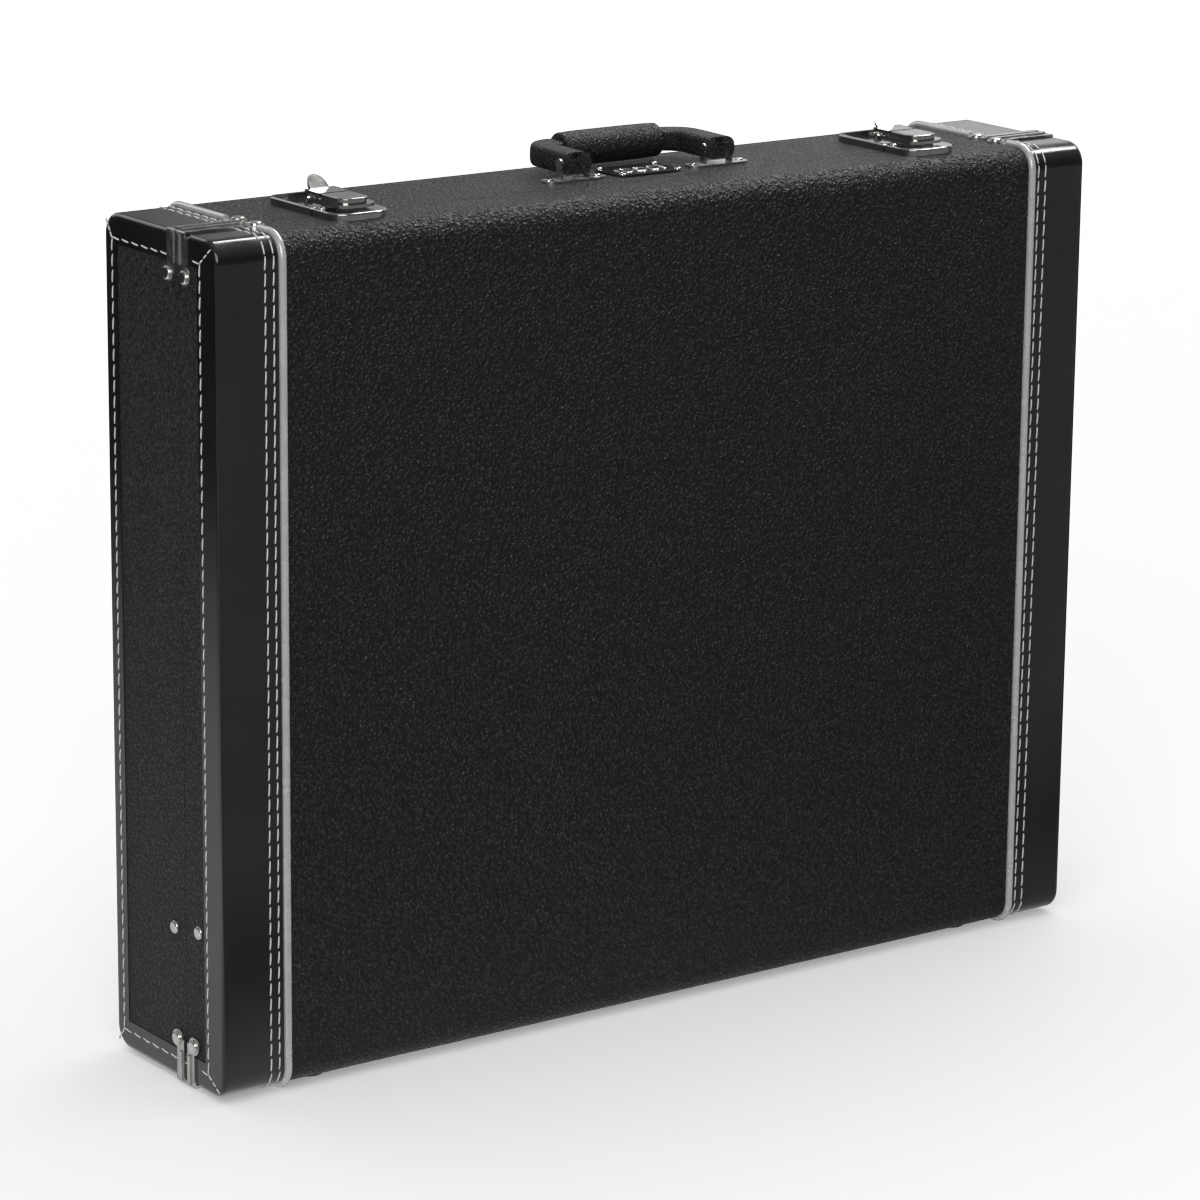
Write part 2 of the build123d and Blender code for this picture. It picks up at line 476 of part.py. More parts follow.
for name, side in SIDES.items():
    x = side * LATCH_X
    with BuildPart() as plate:
        with BuildSketch(Plane.XY.offset(TOP_Z)):
            with Locations((x, plate_y)):
                Rectangle(LATCH_W, plate_l)
            fillet(vertices().group_by(Axis.Y)[-1], PAN_CORNER_R)
        extrude(amount=PAN_H)
        fillet(plate.faces().sort_by(Axis.Z)[-1].edges(), PAN_EDGE_R)
        with BuildSketch(Plane.XY.offset(TOP_Z + PAN_FLOOR)):
            with Locations((x, plate_y)):
                RectangleRounded(LATCH_W - 2 * PAN_RIM, plate_l - 2 * PAN_RIM, PAN_HOLLOW_R)
        extrude(amount=PAN_H, mode=Mode.SUBTRACT)
        with Locations((x, pivot[0], TOP_Z + PAN_FLOOR)):
            Box(LUG_W, LUG_D, PIVOT_UP - PAN_FLOOR, align=(Align.CENTER, Align.CENTER, Align.MIN))
        with Locations((x, *pivot)):
            Cylinder(LUG_R, LUG_W, rotation=(0, 90, 0))
            Cylinder(LATCH_PIN_R, LUG_W + PAST, rotation=(0, 90, 0), mode=Mode.SUBTRACT)
    plate.part.label = f"latch_plate_{name}"
    export_step(plate.part, f"parts/latch_plate_{name}.step")

    with BuildPart() as catch:
        with BuildSketch(Plane.XY.offset(TOP_Z)):
            with Locations((x, SEAM_Y - PLATE_START - catch_l / 2)):
                Rectangle(LATCH_W, catch_l)
            fillet(vertices().group_by(Axis.Y)[0], CATCH_CORNER_R)
        extrude(amount=PAN_H)
        fillet(catch.faces().sort_by(Axis.Z)[-1].edges(), PAN_EDGE_R)
        with Locations((x, SEAM_Y - STRIKER_Y, TOP_Z + PAN_H)):
            Box(*STRIKER, align=(Align.CENTER, Align.CENTER, Align.MIN))
    catch.part.label = f"latch_catch_{name}"
    export_step(catch.part, f"parts/latch_catch_{name}.step")

    tab_up = lever_low + TAB_RISE
    with BuildPart() as lever:
        with BuildSketch(Plane.YZ.offset(x - LEVER_W / 2)):
            with BuildLine():
                Polyline((pivot[0] - LEVER_NEAR, lever_low), (pivot[0] + LEVER_BEND, lever_low),
                         (pivot[0] + LEVER_END, tab_up), (pivot[0] + LEVER_END, tab_up + LEVER_T),
                         (pivot[0] + LEVER_BEND, lever_low + LEVER_T),
                         (pivot[0] - LEVER_NEAR, lever_low + LEVER_T), close=True)
            make_face()
        extrude(amount=LEVER_W)
        with BuildSketch(Plane.XY.offset(lever_low)):
            with Locations((x, pivot[0])):
                Rectangle(LEVER_W, 2 * LEVER_BEND)
            with Locations((x, pivot[0] + LEVER_END - TAB_W / 2)):
                Circle(TAB_W / 2)
                Rectangle(TAB_W, TAB_W, align=(Align.CENTER, Align.MAX))
        extrude(amount=TAB_RISE + LEVER_T, mode=Mode.INTERSECT)
        for ear in SIDES.values():
            with Locations((x + ear * EAR_X, pivot[0] + HASP_ARM / 2, lever_low)):
                Box(EAR_W, HASP_ARM, EAR_H, align=(Align.CENTER, Align.CENTER, Align.MAX))
            for y in (pivot[0], hasp_pin_y):
                with Locations((x + ear * EAR_X, y, pivot[1])):
                    Cylinder(EYE_R, EAR_W, rotation=(0, 90, 0))
        with Locations((x, *pivot)):
            Cylinder(LATCH_PIN_R + RUN_FIT, LEVER_W, rotation=(0, 90, 0), mode=Mode.SUBTRACT)
        with Locations((x, hasp_pin_y, pivot[1])):
            Cylinder(LATCH_PIN_R, LEVER_W, rotation=(0, 90, 0), mode=Mode.SUBTRACT)
    lever.part.label = f"latch_lever_{name}"
    export_step(lever.part, f"parts/latch_lever_{name}.step")

    with BuildPart() as hasp:
        with BuildSketch(Plane.XY.offset(hasp_low)):
            with Locations((x, (hasp_front_y + hasp_pin_y) / 2)):
                Rectangle(HASP_W, hasp_pin_y - hasp_front_y)
            fillet(vertices().group_by(Axis.Y)[0], HASP_CORNER_R)
            with Locations((x, cover_back_y)):
                Rectangle(HASP_SLOT, hasp_pin_y - cover_back_y + PAST, mode=Mode.SUBTRACT,
                          align=(Align.CENTER, Align.MIN))
        extrude(amount=HASP_T)
        with BuildSketch(Plane.XY.offset(hasp_low + HASP_T)):
            with Locations((x, cover_back_y)):
                Rectangle(LEVER_W, cover_back_y - hasp_front_y - COVER_IN, align=(Align.CENTER, Align.MAX))
            fillet(vertices().group_by(Axis.Y)[0], COVER_CORNER_R)
        extrude(amount=lever_low + LEVER_T - hasp_low - HASP_T)
        fillet(hasp.faces().sort_by(Axis.Z)[-1].edges(), COVER_EDGE_R)
        for arm in SIDES.values():
            with Locations((x + arm * (HASP_W + HASP_SLOT) / 4, hasp_pin_y, pivot[1])):
                Cylinder(EYE_R, (HASP_W - HASP_SLOT) / 2, rotation=(0, 90, 0))
        with Locations((x, hasp_pin_y, pivot[1])):
            Cylinder(LATCH_PIN_R + RUN_FIT, HASP_W + PAST, rotation=(0, 90, 0), mode=Mode.SUBTRACT)
    hasp.part.label = f"latch_hasp_{name}"
    export_step(hasp.part, f"parts/latch_hasp_{name}.step")

    with BuildPart() as hasp_pin:
        with Locations((x, hasp_pin_y, pivot[1])):
            Cylinder(LATCH_PIN_R, HASP_W, rotation=(0, 90, 0))
    hasp_pin.part.label = f"hasp_pin_{name}"
    export_step(hasp_pin.part, f"parts/hasp_pin_{name}.step")

    latch_rivets["base"] += [(x + end * RIVET_IN[0], SEAM_Y + y)
                             for end in SIDES.values() for y in (RIVET_IN[1], PLATE_BACK - RIVET_BACK)]
    latch_rivets["lid"] += [(x + end * RIVET_LID[0], SEAM_Y - RIVET_LID[1]) for end in SIDES.values()]

with BuildPart() as lever_pins:
    with Locations(*[(side * LATCH_X, *pivot) for side in SIDES.values()]):
        Cylinder(LATCH_PIN_R, LEVER_PIN_L, rotation=(0, 90, 0))
lever_pins.part.label = "lever_pins"
export_step(lever_pins.part, "parts/lever_pins.step")

# ---- handle, folded back on the base ----
BAR_Y, BAR_UP, BAR_R = SEAM_Y + 18.3, 10.5, 2.0
BAIL_GAP, BAIL_T, BAIL_W, BAIL_R = ARM_W / 2 + 0.3, 1.6, 5.0, 3.2
PLATE_L, PLATE_W, PLATE_T, PLATE_R = 43.0, 13.0, 1.5, 6.0
MOUNT_RIVET_X = 17.0
GRIP_BACK, GRIP_RISE, GRIP_EDGE_R = 39.0, 0.5, 2.5  # grip axis from the pivot bar
BEND_R, ARM_EDGE_R = 14.0, 2.5
CORE_W, CORE_T, CORE_EYE_R = 11.0, 2.4, 3.6
SLEEVE_ROOM = 0.6  # between the bar and the leather
bar_z = TOP_Z + BAR_UP
handle_plane = Plane(origin=(HANDLE_X, BAR_Y, bar_z), x_dir=(1, 0, 0), z_dir=(0, -GRIP_RISE, GRIP_BACK))
reach = (GRIP_BACK**2 + GRIP_RISE**2) ** 0.5
for name, side in SIDES.items():
    x = HANDLE_X + side * HANDLE_HALF
    with BuildPart() as mount:
        with BuildSketch(Plane.XY.offset(TOP_Z)):
            with Locations((x, BAR_Y)):
                RectangleRounded(PLATE_L, PLATE_W, PLATE_R)
        extrude(amount=PLATE_T)
        for bail in SIDES.values():
            with Locations((x + bail * (BAIL_GAP + BAIL_T / 2), BAR_Y, TOP_Z + PLATE_T)):
                Box(BAIL_T, BAIL_W, BAR_UP - PLATE_T, align=(Align.CENTER, Align.CENTER, Align.MIN))
            with Locations((x + bail * (BAIL_GAP + BAIL_T / 2), BAR_Y, bar_z)):
                Cylinder(BAIL_R, BAIL_T, rotation=(0, 90, 0))
        with Locations((x, BAR_Y, bar_z)):
            Cylinder(BAR_R, PLATE_L, rotation=(0, 90, 0), mode=Mode.SUBTRACT)
    mount.part.label = f"handle_mount_{name}"
    export_step(mount.part, f"parts/handle_mount_{name}.step")

with BuildPart() as handle_bars:
    with Locations(*[(HANDLE_X + side * HANDLE_HALF, BAR_Y, bar_z) for side in SIDES.values()]):
        Cylinder(BAR_R, 2 * (BAIL_GAP + BAIL_T), rotation=(0, 90, 0))
handle_bars.part.label = "handle_bars"
export_step(handle_bars.part, "parts/handle_bars.step")


def handle_ribbon(width, thick):
    """C-shaped ribbon in the handle's plane, from pivot to pivot through the grip."""
    half = width / 2
    with BuildPart() as ribbon:
        with BuildSketch(handle_plane.offset(-thick / 2)):
            with BuildLine():
                FilletPolyline((-HANDLE_HALF - half, 0), (-HANDLE_HALF - half, reach + half),
                               (HANDLE_HALF + half, reach + half), (HANDLE_HALF + half, 0),
                               radius=BEND_R + half)
                Line((HANDLE_HALF + half, 0), (HANDLE_HALF - half, 0))
                FilletPolyline((HANDLE_HALF - half, 0), (HANDLE_HALF - half, reach - half),
                               (-HANDLE_HALF + half, reach - half), (-HANDLE_HALF + half, 0),
                               radius=BEND_R - half)
                Line((-HANDLE_HALF + half, 0), (-HANDLE_HALF - half, 0))
            make_face()
        extrude(amount=thick)
    return ribbon.part


with BuildPart() as handle_core:
    add(handle_ribbon(CORE_W, CORE_T))
    for side in SIDES.values():
        with Locations((HANDLE_X + side * HANDLE_HALF, BAR_Y, bar_z)):
            Cylinder(CORE_EYE_R, CORE_W, rotation=(0, 90, 0))
            Cylinder(BAR_R + RUN_FIT, ARM_W, rotation=(0, 90, 0), mode=Mode.SUBTRACT)
handle_core.part.label = "handle_core"
export_step(handle_core.part, "parts/handle_core.step")

with BuildPart() as grip_block:
    with Locations((HANDLE_X, BAR_Y + GRIP_BACK, bar_z + GRIP_RISE)):
        Cylinder(GRIP_R, GRIP_L, rotation=(0, 90, 0))
    fillet(grip_block.edges().filter_by(GeomType.CIRCLE), GRIP_EDGE_R)

CUT = 400.0  # block that splits the arms from each other and from the grip
for name, side in SIDES.items():
    with BuildPart() as arm:
        add(handle_ribbon(ARM_W, ARM_T))
        flats = arm.faces().filter_by(handle_plane)
        fillet(flats.edges().filter_by(lambda edge: edge.length > ARM_W + PAST), ARM_EDGE_R)
        for end in SIDES.values():
            with Locations((HANDLE_X + end * HANDLE_HALF, BAR_Y, bar_z)):
                Cylinder(ARM_T / 2, ARM_W, rotation=(0, 90, 0))
                Cylinder(BAR_R + SLEEVE_ROOM, ARM_W + PAST, rotation=(0, 90, 0), mode=Mode.SUBTRACT)
        add(handle_core.part, mode=Mode.SUBTRACT)
        with Locations((HANDLE_X - side * (CUT - GRIP_L) / 2, BAR_Y, bar_z)):
            Box(CUT, CUT, CUT, mode=Mode.SUBTRACT)
    arm.part.label = f"handle_arm_{name}"
    export_step(arm.part, f"parts/handle_arm_{name}.step")

with BuildPart() as handle_grip:
    add(grip_block.part)
    add(handle_core.part, mode=Mode.SUBTRACT)
handle_grip.part.label = "handle_grip"
export_step(handle_grip.part, "parts/handle_grip.step")

# ---- badge between the handle's mounts ----
BADGE_W, BADGE_D, BADGE_T, BADGE_R = 46.0, 30.0, 1.4, 6.0
BADGE_RIM, BADGE_SUNK = (3.0, 2.5), 0.5  # raised rim at the ends and sides, and the hollow inside it
BADGE_RIVET = (20.0, 12.0)
badge_place = (HANDLE_X - 1, SEAM_Y + 24)
with BuildPart() as badge:
    with BuildSketch(Plane.XY.offset(TOP_Z)):
        with Locations(badge_place):
            RectangleRounded(BADGE_W, BADGE_D, BADGE_R)
    extrude(amount=BADGE_T)
    with BuildSketch(Plane.XY.offset(TOP_Z + BADGE_T - BADGE_SUNK)):
        with Locations(badge_place):
            Ellipse(BADGE_W / 2 - BADGE_RIM[0], BADGE_D / 2 - BADGE_RIM[1])
    extrude(amount=PAST, mode=Mode.SUBTRACT)
badge.part.label = "badge"
export_step(badge.part, "parts/badge.step")

signs = (-1, 1)
base_small = [(x, y, TOP_Z + PAN_FLOOR) for x, y in latch_rivets["base"]]
base_small += [(HANDLE_X + side * HANDLE_HALF + end * MOUNT_RIVET_X, BAR_Y, TOP_Z + PLATE_T)
               for side in signs for end in signs]
base_small += [(badge_place[0] + i * BADGE_RIVET[0], badge_place[1] + j * BADGE_RIVET[1], TOP_Z + BADGE_T)
               for i in signs for j in signs]
lid_small = [(x, y, TOP_Z + PAN_H) for x, y in latch_rivets["lid"]]
for half, places in (("base", base_small), ("lid", lid_small)):
    with BuildPart() as small_rivets:
        with Locations(*places):
            add(small_rivet)
    small_rivets.part.label = f"{half}_small_rivets"
    export_step(small_rivets.part, f"parts/{half}_small_rivets.step")
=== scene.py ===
"""Looks of the pedalboard case: materials, stitching, padding, leather handle, light and camera.

Metres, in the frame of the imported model: X along the case, -Y the lid, +Z up. MM is a millimetre.
"""

import json
import math

import bpy
import numpy as np
from mathutils import Matrix, Vector


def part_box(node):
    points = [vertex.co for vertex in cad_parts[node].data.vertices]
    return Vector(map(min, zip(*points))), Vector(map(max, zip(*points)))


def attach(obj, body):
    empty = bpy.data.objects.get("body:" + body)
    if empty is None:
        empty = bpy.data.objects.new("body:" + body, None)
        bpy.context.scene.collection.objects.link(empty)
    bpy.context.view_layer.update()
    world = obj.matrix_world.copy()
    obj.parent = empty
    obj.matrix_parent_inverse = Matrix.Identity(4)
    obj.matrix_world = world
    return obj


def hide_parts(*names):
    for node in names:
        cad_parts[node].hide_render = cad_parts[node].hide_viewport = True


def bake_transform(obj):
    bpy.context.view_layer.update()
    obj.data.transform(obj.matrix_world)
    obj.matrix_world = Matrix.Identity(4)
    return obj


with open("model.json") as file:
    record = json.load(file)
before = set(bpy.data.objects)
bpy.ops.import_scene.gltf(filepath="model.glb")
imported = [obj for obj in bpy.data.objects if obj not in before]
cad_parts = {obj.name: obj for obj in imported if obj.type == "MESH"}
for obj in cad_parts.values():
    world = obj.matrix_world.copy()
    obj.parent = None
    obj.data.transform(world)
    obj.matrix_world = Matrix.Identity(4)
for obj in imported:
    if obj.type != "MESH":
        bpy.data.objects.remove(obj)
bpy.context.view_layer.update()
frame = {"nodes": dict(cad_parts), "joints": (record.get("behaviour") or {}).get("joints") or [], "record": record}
MM = 0.001

# ---- places read from the frame ----
lid_low, lid_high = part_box("lid_tolex")
base_low, base_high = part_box("base_tolex")
FRONT_Y, BACK_Y = lid_low[1], base_high[1]
SEAM_Y = (lid_high[1] + base_low[1]) / 2
BOTTOM_Z, TOP_Z = lid_low[2], lid_high[2]
END_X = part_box("base_band_right")[1][0]
CORNER_R = 13 * MM
SEAM_GAP = 0.2 * MM  # from the seam plane to each rim
RIM = {"lid": SEAM_Y - SEAM_GAP, "base": SEAM_Y + SEAM_GAP}
FACE = {"lid": FRONT_Y, "base": BACK_Y}
SIDES = {"left": -1, "right": 1}
OUTWARD = {"lid": -1, "base": 1}
X_AXIS, Z_AXIS = Vector((1, 0, 0)), Vector((0, 0, 1))


# ---- materials ----
def new_material(name, color, roughness, **sockets):
    """A Principled material with its uniform values set on the shader itself."""
    mat = bpy.data.materials.new(name)
    mat.use_nodes = True
    shader = mat.node_tree.nodes["Principled BSDF"]
    shader.inputs["Base Color"].default_value = (*color, 1)
    shader.inputs["Roughness"].default_value = roughness
    for socket, value in sockets.items():
        shader.inputs[socket.replace("_", " ")].default_value = value
    return mat


def node(mat, kind, **values):
    """Adds a node; a value named after an input socket goes to it, the rest are properties."""
    made = mat.node_tree.nodes.new(kind)
    for key, value in values.items():
        label = key.replace("_", " ")
        if label in made.inputs:
            made.inputs[label].default_value = value
        else:
            setattr(made, key, value)
    return made


def link(mat, source, target, target_name, source_name=0):
    mat.node_tree.links.new(source.outputs[source_name], target.inputs[target_name])


def coords(mat, stretch=(1, 1, 1)):
    place = node(mat, "ShaderNodeTexCoord")
    scale = node(mat, "ShaderNodeMapping")
    scale.inputs["Scale"].default_value = stretch
    link(mat, place, scale, "Vector", "Object")
    return scale


def ramp(mat, source, stops, source_name=0):
    """Colour ramp from (position, colour) stops."""
    made = node(mat, "ShaderNodeValToRGB")
    line = made.color_ramp
    while len(line.elements) < len(stops):
        line.elements.new(0.5)
    for element, (position, color) in zip(line.elements, stops):
        element.position = position
        element.color = color if len(color) == 4 else (*color, 1)
    link(mat, source, made, "Fac", source_name)
    return made


def grey(value):
    return (value, value, value)


def bump(mat, source, strength, distance, below=None, source_name=0):
    made = node(mat, "ShaderNodeBump", Strength=strength, Distance=distance)
    link(mat, source, made, "Height", source_name)
    if below is not None:
        link(mat, below, made, "Normal")
    link(mat, made, mat.node_tree.nodes["Principled BSDF"], "Normal")
    return made


def tolex_material(name, cell=470, depth=0.0015):
    """Pebbled vinyl: rounded irregular grains with fine pores, grains a little glossier than valleys, and painted
    shade darkening the valleys.
    """
    mat = new_material(name, (0.010, 0.010, 0.011), 0.36)
    shader = mat.node_tree.nodes["Principled BSDF"]
    where = coords(mat)
    wobble = node(mat, "ShaderNodeTexNoise", Scale=cell * 0.55, Detail=2.0)
    link(mat, where, wobble, "Vector")
    shift = node(mat, "ShaderNodeMixRGB", blend_type="LINEAR_LIGHT", Fac=0.0020)
    link(mat, where, shift, "Color1")
    link(mat, wobble, shift, "Color2", "Color")
    grain = node(mat, "ShaderNodeTexVoronoi", feature="SMOOTH_F1", Scale=cell, Smoothness=0.3)
    link(mat, shift, grain, "Vector")
    pores = node(mat, "ShaderNodeTexNoise", Scale=cell * 3.2, Detail=3.0, Roughness=0.6)
    link(mat, where, pores, "Vector")
    domes = ramp(mat, grain, [(0.08, grey(1.0)), (0.38, grey(0.45)), (0.62, grey(0.0))], "Distance")
    first = bump(mat, pores, 0.2, depth * 0.3, source_name="Fac")
    bump(mat, domes, 1.0, depth, first, "Color")
    # Base colour lighter on the grain domes and darker in the valleys between them: painted shade in the recesses.
    tone = ramp(mat, grain, [(0.1, (0.016, 0.016, 0.0165)), (0.5, (0.003, 0.003, 0.0032))], "Distance")
    link(mat, tone, shader, "Base Color", "Color")
    sheen = ramp(mat, grain, [(0.1, grey(0.24)), (0.55, grey(0.60))], "Distance")
    link(mat, sheen, shader, "Roughness", "Color")
    return mat


def leatherette_material(name):
    """Smooth glossy vinyl: faint creasing, soft waves that bend the reflections, light scuffs."""
    mat = new_material(name, (0.006, 0.006, 0.0065), 0.16, Coat_Weight=0.5, Coat_Roughness=0.08)
    shader = mat.node_tree.nodes["Principled BSDF"]
    where = coords(mat)
    waves = node(mat, "ShaderNodeTexNoise", Scale=22.0, Detail=2.0)
    fine = node(mat, "ShaderNodeTexVoronoi", feature="SMOOTH_F1", Scale=900.0, Smoothness=0.5)
    creases = node(mat, "ShaderNodeTexNoise", Scale=120.0, Detail=4.0, Distortion=0.6)
    for texture in (waves, fine, creases):
        link(mat, where, texture, "Vector")
    first = bump(mat, waves, 0.35, 0.0014, source_name="Fac")
    second = bump(mat, creases, 0.10, 0.0003, first, "Fac")
    bump(mat, fine, 0.06, 0.0002, second, "Distance")
    scuff = ramp(mat, creases, [(0.35, grey(0.13)), (0.75, grey(0.24))], "Fac")
    link(mat, scuff, shader, "Roughness", "Color")
    tone = ramp(mat, waves, [(0.3, (0.004, 0.004, 0.0044)), (0.7, (0.008, 0.008, 0.0085))], "Fac")
    link(mat, tone, shader, "Base Color", "Color")
    return mat


def nickel_material(name, roughness=0.11, shade=1.0):
    """Plated steel with fine rolled marks and slight clouding; a lower shade paints the base colour darker,
    painted shade that makes it reflect less.
    """
    mat = new_material(name, (0.70, 0.695, 0.68), roughness, Metallic=1.0)
    shader = mat.node_tree.nodes["Principled BSDF"]
    where = coords(mat)
    cloud = node(mat, "ShaderNodeTexNoise", Scale=150.0, Detail=4.0)
    ripple = node(mat, "ShaderNodeTexNoise", Scale=60.0, Detail=1.0)
    for texture in (cloud, ripple):
        link(mat, where, texture, "Vector")
    rough = ramp(mat, cloud, [(0.3, grey(roughness * 0.7)), (0.75, grey(roughness * 1.7))], "Fac")
    link(mat, rough, shader, "Roughness", "Color")
    bright, dull = (0.74, 0.735, 0.72), (0.60, 0.595, 0.575)
    tones = [(0.3, tuple(shade * c for c in bright)), (0.8, tuple(shade * c for c in dull))]
    tone = ramp(mat, cloud, tones, "Fac")
    link(mat, tone, shader, "Base Color", "Color")
    bump(mat, ripple, 0.22, 0.0004, source_name="Fac")
    return mat


def steel_material(name):
    """Duller steel with a grain drawn along X."""
    mat = nickel_material(name, 0.3)
    grain = node(mat, "ShaderNodeTexNoise", Scale=700.0, Detail=2.0)
    link(mat, coords(mat, (0.1, 1, 1)), grain, "Vector")
    bump(mat, grain, 0.15, 0.0001, source_name="Fac")
    return mat


def piping_material(name):
    """Pearly silver-grey vinyl cord with a faint lengthwise drawn texture."""
    mat = new_material(name, (0.48, 0.485, 0.49), 0.26, Metallic=0.35, Coat_Weight=0.5, Coat_Roughness=0.1)
    shader = mat.node_tree.nodes["Principled BSDF"]
    marks = node(mat, "ShaderNodeTexNoise", Scale=70.0, Detail=2.0)
    drawn = node(mat, "ShaderNodeTexNoise", Scale=900.0, Detail=2.0)
    link(mat, coords(mat), marks, "Vector")
    link(mat, coords(mat, (1, 1, 0.05)), drawn, "Vector")
    tone = ramp(mat, marks, [(0.3, (0.46, 0.465, 0.47)), (0.7, (0.51, 0.515, 0.52))], "Fac")
    link(mat, tone, shader, "Base Color", "Color")
    rough = ramp(mat, marks, [(0.3, grey(0.22)), (0.7, grey(0.30))], "Fac")
    link(mat, rough, shader, "Roughness", "Color")
    bump(mat, drawn, 0.05, 0.0001, source_name="Fac")
    return mat


def thread_material(name, color=(0.72, 0.71, 0.69)):
    """Twisted polyester thread."""
    mat = new_material(name, color, 0.6, Sheen_Weight=0.3)
    twist = node(mat, "ShaderNodeTexWave", Scale=700.0, Distortion=1.5, bands_direction="DIAGONAL")
    link(mat, coords(mat), twist, "Vector")
    bump(mat, twist, 0.6, 0.0002, source_name="Fac")
    # Darker in the grooves of the twist, lighter on its ridges: painted shade.
    tone = ramp(mat, twist, [(0.0, tuple(c * 0.7 for c in color)), (0.7, color)], "Fac")
    link(mat, tone, mat.node_tree.nodes["Principled BSDF"], "Base Color", "Color")
    return mat


def plush_material(name, color=(0.020, 0.020, 0.024), scale=900.0, depth=0.0012):
    """Short pile cloth, or loop carpet at a larger scale."""
    mat = new_material(name, color, 0.95, Sheen_Weight=0.6, Sheen_Roughness=0.5)
    shader = mat.node_tree.nodes["Principled BSDF"]
    where = coords(mat)
    pile = node(mat, "ShaderNodeTexVoronoi", Scale=scale)
    nap = node(mat, "ShaderNodeTexNoise", Scale=18.0, Detail=3.0)
    for texture in (pile, nap):
        link(mat, where, texture, "Vector")
    bump(mat, pile, 0.9, depth, source_name="Distance")
    light, dark = tuple(c * 1.7 for c in color), tuple(c * 0.6 for c in color)
    tone = ramp(mat, nap, [(0.3, dark), (0.75, light)], "Fac")
    speck = node(mat, "ShaderNodeMixRGB", blend_type="MULTIPLY", Fac=0.6)
    link(mat, tone, speck, "Color1", "Color")
    shade = ramp(mat, pile, [(0.0, grey(1.0)), (0.7, grey(0.35))], "Distance")
    link(mat, shade, speck, "Color2", "Color")
    link(mat, speck, shader, "Base Color")
    return mat


def plywood_material(name):
    """Birch ply: a long grain drawn along X."""
    mat = new_material(name, (0.55, 0.40, 0.24), 0.6)
    shader = mat.node_tree.nodes["Principled BSDF"]
    grain = node(mat, "ShaderNodeTexNoise", Scale=60.0, Detail=6.0, Roughness=0.65)
    link(mat, coords(mat, (0.12, 1, 1)), grain, "Vector")
    birch = [(0.3, (0.36, 0.24, 0.13)), (0.55, (0.55, 0.40, 0.23)), (0.8, (0.66, 0.51, 0.33))]
    tone = ramp(mat, grain, birch, "Fac")
    link(mat, tone, shader, "Base Color", "Color")
    bump(mat, grain, 0.25, 0.0004, source_name="Fac")
    return mat


def webbing_material(name):
    """Black woven strap."""
    mat = new_material(name, (0.015, 0.015, 0.016), 0.7, Sheen_Weight=0.4)
    weave = node(mat, "ShaderNodeTexWave", Scale=420.0, Distortion=0.4, bands_direction="DIAGONAL")
    link(mat, coords(mat), weave, "Vector")
    bump(mat, weave, 0.8, 0.0004, source_name="Fac")
    # Darker in the grooves of the weave, lighter on its ribs: painted shade.
    tone = ramp(mat, weave, [(0.1, grey(0.008)), (0.9, grey(0.03))], "Fac")
    link(mat, tone, mat.node_tree.nodes["Principled BSDF"], "Base Color", "Color")
    return mat


def moulded_material(name, color, roughness):
    """Rubber or nylon with the fine texture of its mould."""
    mat = new_material(name, color, roughness)
    spark = node(mat, "ShaderNodeTexNoise", Scale=1400.0, Detail=2.0)
    link(mat, coords(mat), spark, "Vector")
    bump(mat, spark, 0.3, 0.0002, source_name="Fac")
    rough = ramp(mat, spark, [(0.3, grey(roughness * 0.8)), (0.7, grey(min(1, roughness * 1.2)))], "Fac")
    link(mat, rough, mat.node_tree.nodes["Principled BSDF"], "Roughness", "Color")
    return mat


def enamel_material(name):
    """Black enamel with a faint texture."""
    mat = new_material(name, (0.012, 0.012, 0.014), 0.25, Coat_Weight=0.6)
    speck = node(mat, "ShaderNodeTexNoise", Scale=500.0, Detail=2.0)
    link(mat, coords(mat), speck, "Vector")
    bump(mat, speck, 0.15, 0.0002, source_name="Fac")
    tone = ramp(mat, speck, [(0.3, grey(0.009)), (0.7, grey(0.018))], "Fac")
    link(mat, tone, mat.node_tree.nodes["Principled BSDF"], "Base Color", "Color")
    return mat


LOOKS = {
    "tolex": tolex_material("tolex"),
    "leatherette": leatherette_material("leatherette"),
    "piping": piping_material("piping"),
    "plywood": plywood_material("plywood"),
    "valance": steel_material("valance"),
    "plush": plush_material("plush"),
    "carpet": plush_material("carpet", (0.013, 0.013, 0.014), 330.0, 0.0022),
    "foam": plush_material("pad_cloth", (0.024, 0.023, 0.028), 1100.0, 0.0008),
    "rubber": moulded_material("rubber", (0.012, 0.012, 0.012), 0.75),
    "nylon": moulded_material("nylon", (0.02, 0.02, 0.02), 0.4),
    "handle_leather": tolex_material("handle_leather", 700, 0.0006),
    "grip_leather": tolex_material("grip_leather", 620, 0.0007),
    "badge": enamel_material("badge"),
    "webbing": webbing_material("webbing"),
    "steel": steel_material("steel"),
    "nickel": nickel_material("nickel"),
}
THREAD = thread_material("thread")

# Copies of the nickel for some metal parts: one rougher and painted a fifth darker, one painted about two fifths
# darker. The darkening is painted shade, dimming their reflections.
SATIN = nickel_material("satin_nickel", 0.26, 0.8)
SHADED_NICKEL = nickel_material("shaded_nickel", 0.13, 0.62)
SATIN_NODES = ("base_corner_brackets", "lid_corner_brackets", "handle_mount_left", "handle_mount_right")
SHADED_NICKEL_NODES = ("latch_lever", "latch_hasp", "latch_plate", "latch_catch")

